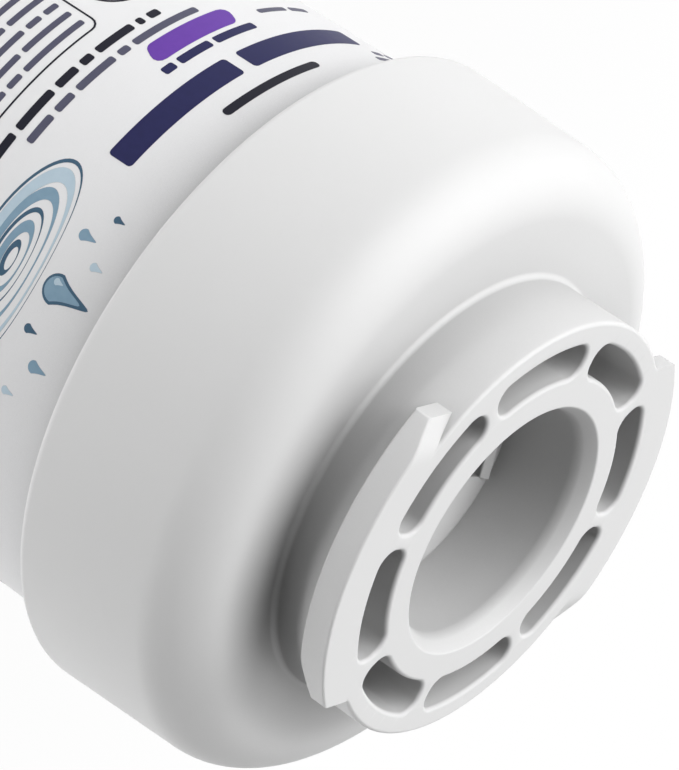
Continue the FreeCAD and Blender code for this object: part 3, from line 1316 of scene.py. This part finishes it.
    def build_film(self) -> Object:
        """Model the film and put it in the place of its CAD node.

        Returns:
            The finished film.
        """
        bm = bmesh.new()
        gap = self.seam_gap / self.outer_radius
        first = math.radians(self.seam_turn) + gap / 2
        ends = [bm.verts.new(polar(self.outer_radius, first, level)) for level in (self.bottom, self.top)]
        edge = bm.edges.new(ends)
        bmesh.ops.spin(bm, geom=ends + [edge], cent=CENTRE, axis=AXIS, angle=FULL_TURN - gap,
                       steps=self.film_steps)
        face_out(bm)
        bmesh.ops.solidify(bm, geom=bm.faces[:], thickness=self.outer_radius - self.inner_radius)
        piece = as_piece(bm, "label_film", self.film.material())
        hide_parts("body_label")
        return piece

    def build_print(self) -> List[Object]:
        """Model the print, one piece for each ink.

        Returns:
            The printed pieces.
        """
        motifs = [
            (self.lay_bar, self.bars()),
            (self.lay_ribbon, self.ribbons()),
            (self.lay_drop, self.drops()),
            (self.lay_ring, self.rings()),
            (self.lay_frame, [self.panel]),
        ]
        pieces = []
        for ink in Ink:
            bm = bmesh.new()
            for lay, shapes in motifs:
                for shape in shapes:
                    if shape.ink is ink:
                        lay(bm, shape)
            self.wrap(bm, ink.layer)
            pieces.append(as_piece(bm, "print_" + ink.tag, ink.finish.material()))
        return pieces


@dataclass
class Sump:
    """Cup under the label, and the filter element that it holds."""

    shell: Finish
    carbon: Finish
    wrap: Finish
    moulding: Finish
    seal: Finish

    def dress(self, nodes: Mapping[str, Object]) -> None:
        """Give the CAD nodes of the cup and the element their materials.

        Args:
            nodes: CAD nodes by name.
        """
        finishes = {
            "sump_shell": self.shell,
            "carbon_block": self.carbon,
            "prefilter_wrap": self.wrap,
            "core_tube": self.moulding,
            "top_end_cap": self.moulding,
            "bottom_end_cap": self.moulding,
            "spigot_o_ring_lower": self.seal,
            "spigot_o_ring_upper": self.seal,
        }
        made: Dict[str, Material] = {}
        for name, finish in finishes.items():
            if finish.name not in made:
                made[finish.name] = finish.material()
            nodes[name].data.materials.clear()
            nodes[name].data.materials.append(made[finish.name])
            LOG.info("%s: dressed in %s", name, finish.name)


class Softbox(NamedTuple):
    """A soft studio light: direction in degrees, size and distance in metres, power in watts."""

    name: str
    heading: float
    height: float
    width: float
    length: float
    distance: float
    power: float


@dataclass
class Studio:
    """Camera, pale floor, soft lights and white surround."""

    camera_place: Tuple[float, float, float] = (0.340432, -0.172420, 0.335018)
    across: Tuple[float, float, float] = (-0.588346, -0.335722, 0.735622)
    upward: Tuple[float, float, float] = (-0.137621, -0.854891, -0.500222)
    lens: float = 178.685
    clip_start: float = 0.01
    aim: Tuple[float, float, float] = (0.0, 0.0, 0.13)
    near: float = 0.5
    floor_radius: float = 4.0
    floor_steps: int = 96
    floor_colour: str = "#f0f0f0"
    floor_white: float = 0.8
    shadow_start: float = 0.1
    shadow_end: float = 0.35
    boxes: Tuple[Softbox, ...] = (
        Softbox("key_light", -90.0, 38.0, 0.9, 0.9, 1.0, 7.7),
        Softbox("side_light", -130.0, 38.0, 0.9, 0.9, 1.0, 2.6),
        Softbox("top_light", -110.0, 68.0, 0.9, 0.9, 1.0, 4.7),
        Softbox("back_light", 115.0, 64.0, 0.9, 0.9, 1.0, 2.3),
        Softbox("front_strip", -40.0, -20.0, 0.36, 0.03, 0.33, 0.12),
        Softbox("left_strip", 27.0, -18.0, 0.36, 0.03, 0.33, 0.36),
        Softbox("rear_strip", 92.0, -20.0, 0.36, 0.03, 0.33, 0.22),
    )

    def build_camera(self) -> None:
        """Set the camera at the photograph's viewing angle."""
        data = bpy.data.cameras.new("camera")
        data.lens = self.lens
        data.clip_start = self.clip_start
        camera = bpy.data.objects.new("camera", data)
        bpy.context.scene.collection.objects.link(camera)
        right = Vector(self.across).normalized()
        back = right.cross(Vector(self.upward)).normalized()
        turned = Matrix((right, back.cross(right), back)).transposed()
        camera.matrix_world = Matrix.Translation(self.camera_place) @ turned.to_4x4()
        bpy.context.scene.camera = camera

    def build_lights(self) -> None:
        """Place the soft lights round the object."""
        aim = Vector(self.aim)
        for box in self.boxes:
            data = bpy.data.lights.new(box.name, "AREA")
            data.shape = "RECTANGLE"
            data.size, data.size_y = box.width, box.length
            data.energy = box.power
            lamp = bpy.data.objects.new(box.name, data)
            lamp.visible_camera = False
            # A strip this near would leave a hard streak in the gloss
            lamp.visible_glossy = box.distance > self.near
            bpy.context.scene.collection.objects.link(lamp)
            heading = Matrix.Rotation(math.radians(box.heading), 4, "Z")
            tilt = Matrix.Rotation(-math.radians(box.height), 4, "Y")
            lamp.location = aim + heading @ tilt @ Vector((box.distance, 0.0, 0.0))
            lamp.rotation_mode = "QUATERNION"
            lamp.rotation_quaternion = (aim - lamp.location).to_track_quat("-Z", "Y")

    def seen_white(self, on: Recipe) -> NodeSocket:
        """Share of white for rays that see the surround directly or in a gloss.

        Args:
            on: Nodes of the floor or the surround.

        Returns:
            A socket that is 1 for camera, glossy and transmission rays.
        """
        path = on.add("ShaderNodeLightPath")
        bounced = {0: path.outputs["Is Glossy Ray"], 1: path.outputs["Is Transmission Ray"]}
        shiny = on.add("ShaderNodeMath", bounced, operation="MAXIMUM")
        either = {0: path.outputs["Is Camera Ray"], 1: shiny.outputs["Value"]}
        return on.add("ShaderNodeMath", either, operation="MAXIMUM").outputs["Value"]

    def floor_paint(self) -> Material:
        """Matt paint, white to the eye with a faint shadow and plain pale to the light that it bounces.

        Returns:
            The floor's material.
        """
        made = bpy.data.materials.new("matt_floor_paint")
        on = Recipe.of(made)
        paint = on.add("ShaderNodeBsdfDiffuse", {"Color": linear(self.floor_colour)})
        white = on.add("ShaderNodeEmission", {"Strength": 1.0})
        # The shadow stays near the object, and the far floor runs into the white surround
        place = on.add("ShaderNodeTexCoord").outputs["Object"]
        far = on.add("ShaderNodeVectorMath", {0: place}, operation="LENGTH")
        fade = on.add("ShaderNodeMapRange", {
            "Value": far.outputs["Value"],
            "From Min": self.shadow_start,
            "From Max": self.shadow_end,
            "To Min": self.floor_white,
            "To Max": 1.0,
        })
        both = {0: self.seen_white(on), 1: fade.outputs["Result"]}
        share = on.add("ShaderNodeMath", both, operation="MULTIPLY")
        mix = on.add("ShaderNodeMixShader", {
            0: share.outputs["Value"], 1: paint.outputs["BSDF"], 2: white.outputs["Emission"]})
        on.add("ShaderNodeOutputMaterial", {"Surface": mix.outputs["Shader"]})
        return made

    def build_floor(self) -> None:
        """Lay the pale floor that keeps the object's shadow."""
        bm = bmesh.new()
        bmesh.ops.create_circle(bm, cap_ends=True, segments=self.floor_steps, radius=self.floor_radius)
        mesh = bpy.data.meshes.new("studio_floor")
        bm.to_mesh(mesh)
        bm.free()
        mesh.materials.append(self.floor_paint())
        floor = bpy.data.objects.new("studio_floor", mesh)
        bpy.context.scene.collection.objects.link(floor)

    def build_surround(self) -> None:
        """Fill the surround with even white that is seen but sheds no light of its own."""
        world = bpy.data.worlds.new("surround")
        bpy.context.scene.world = world
        on = Recipe.of(world)
        sky = on.add("ShaderNodeBackground", {"Color": linear("#ffffff"), "Strength": self.seen_white(on)})
        on.add("ShaderNodeOutputWorld", {"Surface": sky.outputs["Background"]})

    def build(self) -> None:
        """Set up the camera, lights, floor and surround."""
        self.build_camera()
        self.build_lights()
        self.build_floor()
        self.build_surround()
        bpy.context.scene.view_settings.view_transform = "Standard"


def write_sizes() -> None:
    """Update the view layer, so that every object's placement is current."""
    bpy.context.view_layer.update()


def main() -> None:
    """Build the cartridge's pieces and the studio round it."""
    logging.basicConfig(level=logging.INFO, format="%(message)s")
    HeadCap(MouldedPolypropylene("moulded_polypropylene_white", "#dcdcdc", "#d8d8d8", 0.5)).build()
    label = WrappedLabel(LabelFilm("label_film_white", "#e5e5e6", "#dfdfe0", 0.45))
    label.build_film()
    label.build_print()
    sump = Sump(
        shell=MouldedPolypropylene("moulded_polypropylene_sump", "#dcdcdc", "#d8d8d8", 0.5),
        carbon=PressedCarbon("pressed_carbon", "#26262a", "#111113", 0.85),
        wrap=NonwovenSheet("nonwoven_polypropylene", "#eeeeea", "#d9d9d4", 0.8),
        moulding=NaturalPolypropylene("natural_polypropylene", "#e2e2dc", "#d4d4cd", 0.4),
        seal=MouldedRubber("moulded_epdm", "#2b2b2d", "#1b1b1d", 0.6, 1.52),
    )
    sump.dress(frame["nodes"])
    Studio().build()
    write_sizes()


if __name__ == "__main__":
    main()
